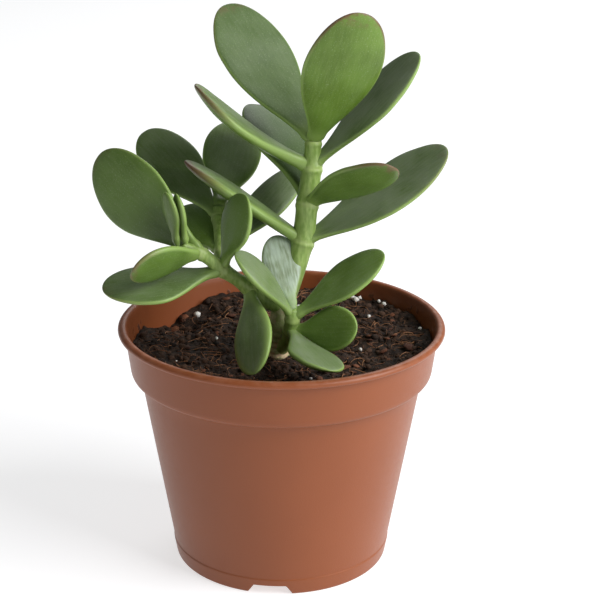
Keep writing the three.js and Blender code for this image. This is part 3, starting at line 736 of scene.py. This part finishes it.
def leaf(name, node, heading, rise, length, width, roll=0, thickness=4, curl=0, widest=0.62, taper=2.1,
         stalk=1.0, bloom_and_painted_sheen=0.5, dark=0.0, blush=0.0, rim=0.5, seed=0):
    """One leaf: a section carried out from its node, widening from stalk to blade.

    heading is its compass direction (0 right, 90 back), rise its slope, roll its turn about its
    own length, curl the angle that it bends through towards its upper face. Half the width is
    the stalk's, eased into the blade's by sin(90 degrees * along / widest) ^ taper, and past
    the widest place it follows a quarter ellipse to the tip. The section is a full oval: across
    is cos a to the power 0.85, and up is sin a to the power 0.8 on the blade. A faint channel
    runs along the middle of the upper face, and ripples make the blade and its outline uneven.
    The stalk swells where it clasps the stem, and stalk makes it thicker or thinner. Rows crowd
    towards the tip. The bloom, dark, blush and rim numbers go to the material: how waxy the
    leaf is, which also sets a painted sheen on its upper face, how far painted shade darkens it,
    how reddened it is, and how wide its clear margin is in millimetres.
    """
    heading, rise, roll, curl = np.radians([heading, rise, roll, curl])
    out = np.array([np.cos(rise) * np.cos(heading), np.cos(rise) * np.sin(heading), np.sin(rise)])
    level = np.array([-np.sin(heading), np.cos(heading), 0])
    across = level * np.cos(roll) + np.cross(out, level) * np.sin(roll)
    up = np.cross(out, across)

    along = (1 - np.linspace(1, 0, LEAF_ROWS + 1)[:-1] ** 1.7)[:, None]
    turn = np.linspace(0, 2 * np.pi, LEAF_SIDES, endpoint=False)[None, :]
    towards_widest = np.minimum(along / widest, 1)
    past_widest = np.maximum((along - widest) / (1 - widest), 0)
    round_tip = np.sqrt(1 - past_widest ** 2)
    spoon = np.sin(np.pi / 2 * towards_widest) ** taper
    stalk_half_width = width * STALK_SHARE
    stalk_half_thickness = min(stalk_half_width, thickness / 2) * STALK_FLATNESS * stalk
    clasp = np.exp(-((along * length - 2.5) / 1.6) ** 2) * CLASP_SWELL
    half_width = (stalk_half_width + (width / 2 - stalk_half_width) * spoon) * round_tip + clasp
    thicken = np.sin(np.pi / 2 * towards_widest) ** 0.9
    half_thickness = stalk_half_thickness + (thickness / 2 - stalk_half_thickness) * thicken
    half_thickness = half_thickness * round_tip + clasp

    side = np.sign(np.cos(turn)) * np.abs(np.cos(turn)) ** 0.85
    face = np.sign(np.sin(turn)) * np.abs(np.sin(turn)) ** (1 - 0.2 * towards_widest)
    centre = np.array(node, dtype=float)
    outline = np.stack(np.broadcast_arrays(along * length / 9, np.sign(side), 0.0), axis=-1)
    half_width = half_width * (1 + 0.022 * spoon * ripple(outline, 1.0, seed))
    bow = -(curl / 2) * along * (1 - along) * length
    trough = 0.05 * half_width * side ** 2
    middle = np.exp(-(side * half_width / 1.6) ** 2)
    groove = -CHANNEL_DEPTH * np.clip(face, 0, 1) * middle * (1 - along) * spoon ** 0.5
    blade = centre + out * (along * length)[..., None] + across * (side * half_width)[..., None]
    lift = bow + trough + face * half_thickness + groove
    wavy = 0.35 * spoon * ripple(blade, 15, seed + 1) + 0.1 * spoon * ripple(blade, 5, seed + 2)
    rings = blade + up * (lift + wavy)[..., None]
    tip = centre + out * length + up * wavy[-1].mean()
    piece = skin("leaf_" + name + "_blade", rings, centre, tip, {
        "along": along * length,
        "aside": side * half_width,
        "margin": (1 - np.abs(side)) * half_width,
        "tipward": along,
        "upper": face,
        "bloom_and_painted_sheen": bloom_and_painted_sheen,
        "dark": dark,
        "blush": blush,
        "rim": rim,
    })
    finish_piece(piece, leaf_skin, "leaf", "leaf_" + name)


def waxy_leaf():
    """A living leaf: clear green below, grey-green above with wax and a painted sheen.

    Pale streaks run along it, pale dots cover it, and a thin clear margin runs round it, red
    towards the tip where the leaf has blushed. Where the wax is strong, a paler painted sheen
    covers the upper face, and painted shade darkens the green by the leaf's dark number.
    """
    material, pen, shader = new_finish("waxy_leaf", {
        "Specular IOR Level": 0.36, "Subsurface Weight": 0.15,
        "Subsurface Radius": (0.6, 1.0, 0.2), "Subsurface Scale": 0.002})
    place = pen.place()
    along, aside = pen.mark("along"), pen.mark("aside")
    lengthwise = pen.node("ShaderNodeCombineXYZ", {}, {
        "X": along * 0.16, "Y": aside * 1.1, "Z": pen.mark("upper")})
    streaks = pen.grain(lengthwise, 1.0, 4.0)
    clouds = pen.grain(place, 75, 3.0)
    dots = pen.grain(place, 2300, 1.0)
    upper = pen.mark("upper").rise(-0.3, 0.6)
    # Wax bloom and painted sheen: the upper face is greyed by the leaf's bloom number, partly real wax and
    # partly reflected light painted in.
    wax_and_painted_sheen = upper * pen.mark("bloom_and_painted_sheen") * (clouds * 1.4 + streaks * 0.8 - 0.35)

    green = clouds.rise(0.3, 0.7).paint(colour(82, 108, 32), colour(100, 130, 48))
    green = (streaks.rise(0.35, 0.8) * 0.4).paint(green, colour(114, 138, 66))
    # Painted shade: the green is darkened by the leaf's dark number, for leaves that stand in shade.
    green = (pen.mark("dark") * 0.9).paint(green, colour(62, 84, 40))
    tone = wax_and_painted_sheen.rise(0.0, 1.0).paint(green, colour(122, 136, 104))
    # Painted sheen: where the wax is strongest the upper face is paled further, standing in for reflected
    # light.
    tone = wax_and_painted_sheen.rise(0.9, 1.9).paint(tone, colour(176, 192, 172))
    tone = (dots.rise(0.58, 0.75) * 0.2).paint(tone, colour(158, 176, 142))
    base = along.rise(10, 2)
    tone = (base * 0.6).paint(tone, colour(138, 164, 86))
    edge = pen.node("ShaderNodeMath", {"operation": "DIVIDE"}, {0: pen.mark("margin"), 1: pen.mark("rim")})
    edge = edge.rise(1.6, 0.2)
    red = pen.mark("blush") * pen.mark("tipward").rise(0.6, 0.92)
    margin = red.paint(colour(142, 168, 92), colour(104, 62, 56))
    tone = (edge * 0.75).paint(tone, margin)
    scorch = red * pen.mark("tipward").rise(0.9, 0.985) * pen.grain(place, 380, 3.0).rise(0.4, 0.6)
    tone = (scorch * 0.7).paint(tone, colour(112, 78, 62))
    tone.feed(shader, "Base Color")
    (0.34 + clouds * 0.12 + wax_and_painted_sheen * 0.1).feed(shader, "Roughness")
    (dots * 0.5 + streaks * 0.7 + clouds * 0.5).raised(0.00007).feed(shader, "Normal")
    return material


leaf_skin = waxy_leaf()
leaf("crown_back", TRUNK_TOP, heading=140, rise=46, length=60, width=28, roll=-16, curl=14, taper=1.7,
     bloom_and_painted_sheen=0.35, dark=0.8, blush=0.5, seed=101)
leaf("crown_front", TRUNK_TOP, heading=-58, rise=60, length=57, width=28, roll=-16, curl=18, widest=0.6,
     taper=1.6, bloom_and_painted_sheen=0.3, blush=1.0, rim=0.7, seed=102)
leaf("upper_right", TRUNK_HIGH, heading=0, rise=48, length=55, width=25, roll=17, curl=5,
     bloom_and_painted_sheen=1.0, dark=0.35, seed=103)
leaf("upper_left", TRUNK_HIGH, heading=186, rise=36, length=51, width=25, roll=2, thickness=5, curl=24,
     widest=0.66, taper=2.5, stalk=1.35, bloom_and_painted_sheen=0.6, blush=0.9, rim=0.8, seed=104)
leaf("middle_back", TRUNK_MIDDLE, heading=118, rise=33, length=50, width=25, roll=12, curl=-18, taper=2.7,
     bloom_and_painted_sheen=0.0, dark=1.0, seed=105)
leaf("middle_front", TRUNK_MIDDLE, heading=-42, rise=28, length=44, width=20, roll=-30, taper=1.2,
     bloom_and_painted_sheen=0.7, dark=0.4, blush=0.9, seed=106)
leaf("lower_left", TRUNK_LOW, heading=177, rise=34, length=51, width=23, roll=9, thickness=5, widest=0.6,
     taper=1.4, stalk=1.3, bloom_and_painted_sheen=0.3, blush=1.0, rim=1.6, seed=107)
leaf("lower_right", TRUNK_LOW, heading=5, rise=33, length=61, width=28, roll=17, curl=15, widest=0.59,
     taper=1.6, bloom_and_painted_sheen=1.0, dark=0.3, blush=0.4, seed=108)


# ---------------------------------------------------------------------------- branch leaves
# The same leaves on the left branch, crowded and turned towards the light, with one hanging
# from its first node, and a young pair standing upright and half open at its tip.
YOUNG_OUTER = (-36.2, -19, 125.7)
YOUNG_INNER = (-33.3, -19, 126)

leaf("branch_hanging", BRANCH_FIRST, heading=-85, rise=-40, length=35, width=17, roll=43, curl=14,
     widest=0.59, taper=1.6, bloom_and_painted_sheen=0.7, rim=2.2, seed=111)
leaf("branch_upright", BRANCH_SECOND, heading=-26, rise=71, length=30, width=17, roll=60, taper=2.4,
     bloom_and_painted_sheen=0.1, dark=0.35, seed=112)
leaf("branch_low", BRANCH_SECOND, heading=-162, rise=-5, length=43, width=25, roll=-13, curl=16,
     widest=0.6, taper=2.4, bloom_and_painted_sheen=0.5, dark=0.5, blush=0.3, seed=113)
leaf("branch_back", BRANCH_THIRD, heading=150, rise=33, length=52, width=27, roll=-84, curl=-12,
     taper=1.8, bloom_and_painted_sheen=0.2, dark=0.35, blush=0.3, seed=114)
leaf("branch_front", BRANCH_THIRD, heading=-135, rise=0, length=31, width=16, roll=60, taper=1.4,
     bloom_and_painted_sheen=0.3, dark=0.45, blush=0.6, rim=0.8, seed=115)
leaf("young_outer", YOUNG_OUTER, heading=180, rise=79, length=20, width=9, roll=35, thickness=2.6,
     bloom_and_painted_sheen=0.9, rim=0.7, seed=116)
leaf("young_inner", YOUNG_INNER, heading=0, rise=99, length=19, width=9, roll=25, thickness=2.6,
     bloom_and_painted_sheen=0.2, rim=0.7, seed=117)


# ---------------------------------------------------------------------------- back-shoot leaves
# Two pairs on the shoot behind the left branch. They stand in the shade of the crown, and painted
# shade darkens some of them, but not the top one, which faces the light and is bright green.
leaf("shoot_left", SHOOT_LOW, heading=125, rise=18, length=30, width=19, roll=-20, bloom_and_painted_sheen=0.0,
     seed=121)
leaf("shoot_right", SHOOT_LOW, heading=52, rise=25, length=50, width=14, roll=22, taper=1.8, bloom_and_painted_sheen=0.9,
     dark=0.7, seed=122)
leaf("shoot_far", SHOOT_TOP, heading=140, rise=34, length=45, width=21, roll=-29, bloom_and_painted_sheen=0.6, dark=0.2,
     seed=123)
leaf("shoot_top", SHOOT_TIP, heading=82, rise=26, length=48, width=22, roll=14, curl=8, taper=1.8,
     bloom_and_painted_sheen=0.25, dark=0.0, seed=124)


# ---------------------------------------------------------------------------- front-shoot leaves
# Five young leaves on the short shoot at the front: a lower pair that spreads over the soil,
# and an upper pair round a single upright one.
leaf("front_left", FRONT_TOP, heading=196, rise=51, length=33, width=15, roll=-25, curl=-18,
     bloom_and_painted_sheen=0.8, seed=131)
leaf("front_upright", FRONT_TIP, heading=115, rise=55, length=28, width=14, roll=-14, curl=7,
     bloom_and_painted_sheen=2.3, seed=132)
leaf("front_right", FRONT_TOP, heading=3, rise=36, length=40, width=19, roll=20, widest=0.6,
     bloom_and_painted_sheen=0.4, seed=133)
leaf("front_round", FRONT_LOW, heading=-32, rise=13, length=28, width=16, roll=65, curl=8, taper=2.5,
     bloom_and_painted_sheen=0.2, rim=0.8, seed=134)
leaf("front_low", FRONT_LOW, heading=-68, rise=-2, length=38, width=18, roll=-14, curl=20, taper=1.9,
     bloom_and_painted_sheen=0.8, rim=0.8, seed=135)


# ---------------------------------------------------------------------------- the studio
# Not part of the plant: a pale floor, a large soft light at the right, a weak one behind, and
# an even pale surrounding. The camera stands in front, a little above the rim, looking down.
FLOOR_HALF = 4000
LIGHT_TARGET = (0, 0, 0.1)
CAMERA_PLACE = (0.00664, -0.56427, 0.30318)
CAMERA_TARGET = (0.00664, 0, 0.09922)
CAMERA_TURN = math.radians(0.43)
CAMERA_LENS = 98.5

floor = new_piece("studio_floor", np.array([
    (-FLOOR_HALF, -FLOOR_HALF, -0.05), (FLOOR_HALF, -FLOOR_HALF, -0.05),
    (FLOOR_HALF, FLOOR_HALF, -0.05), (-FLOOR_HALF, FLOOR_HALF, -0.05),
]), [np.array([(0, 1, 2, 3)])], {})
floor_paint, floor_pen, floor_shader = new_finish("floor_paint", {
    "Roughness": 0.9, "Specular IOR Level": 0.1, "Emission Color": (1, 1, 1, 1), "Emission Strength": 0.66})
floor_tone = floor_pen.grain(floor_pen.place(), 3, 2.0)
floor_tone.paint(colour(192, 193, 195), colour(198, 198, 200)).feed(floor_shader, "Base Color")
floor.data.materials.append(floor_paint)


def soft_light(name, place, width, power):
    """A square soft light of that width in metres, aimed at the plant."""
    lamp = bpy.data.lights.new(name, "AREA")
    lamp.size = width
    lamp.energy = power
    light = bpy.data.objects.new(name, lamp)
    light.location = place
    light.rotation_euler = (Vector(LIGHT_TARGET) - Vector(place)).to_track_quat("-Z", "Y").to_euler()
    bpy.context.scene.collection.objects.link(light)


soft_light("key_light", place=(1.0, -0.45, 0.8), width=1.0, power=25)
soft_light("back_light", place=(0.3, 1.2, 1.0), width=1.0, power=6)

surroundings = bpy.data.worlds.new("surroundings")
surroundings.use_nodes = True
surroundings.node_tree.nodes["Background"].inputs["Color"].default_value = (0.95, 0.98, 1.0, 1)
surroundings.node_tree.nodes["Background"].inputs["Strength"].default_value = 0.16
bpy.context.scene.world = surroundings
bpy.context.scene.view_settings.view_transform = "Standard"

camera = bpy.data.objects.new("camera", bpy.data.cameras.new("camera"))
camera.data.lens = CAMERA_LENS
forward = (Vector(CAMERA_TARGET) - Vector(CAMERA_PLACE)).normalized()
level_right = forward.cross(Vector((0, 0, 1))).normalized()
level_up = level_right.cross(forward)
right = level_right * math.cos(CAMERA_TURN) + level_up * math.sin(CAMERA_TURN)
above = level_up * math.cos(CAMERA_TURN) - level_right * math.sin(CAMERA_TURN)
camera.matrix_world = (Matrix.Translation(CAMERA_PLACE)
                       @ Matrix((right, above, -forward)).transposed().to_4x4())
bpy.context.scene.collection.objects.link(camera)
bpy.context.scene.camera = camera
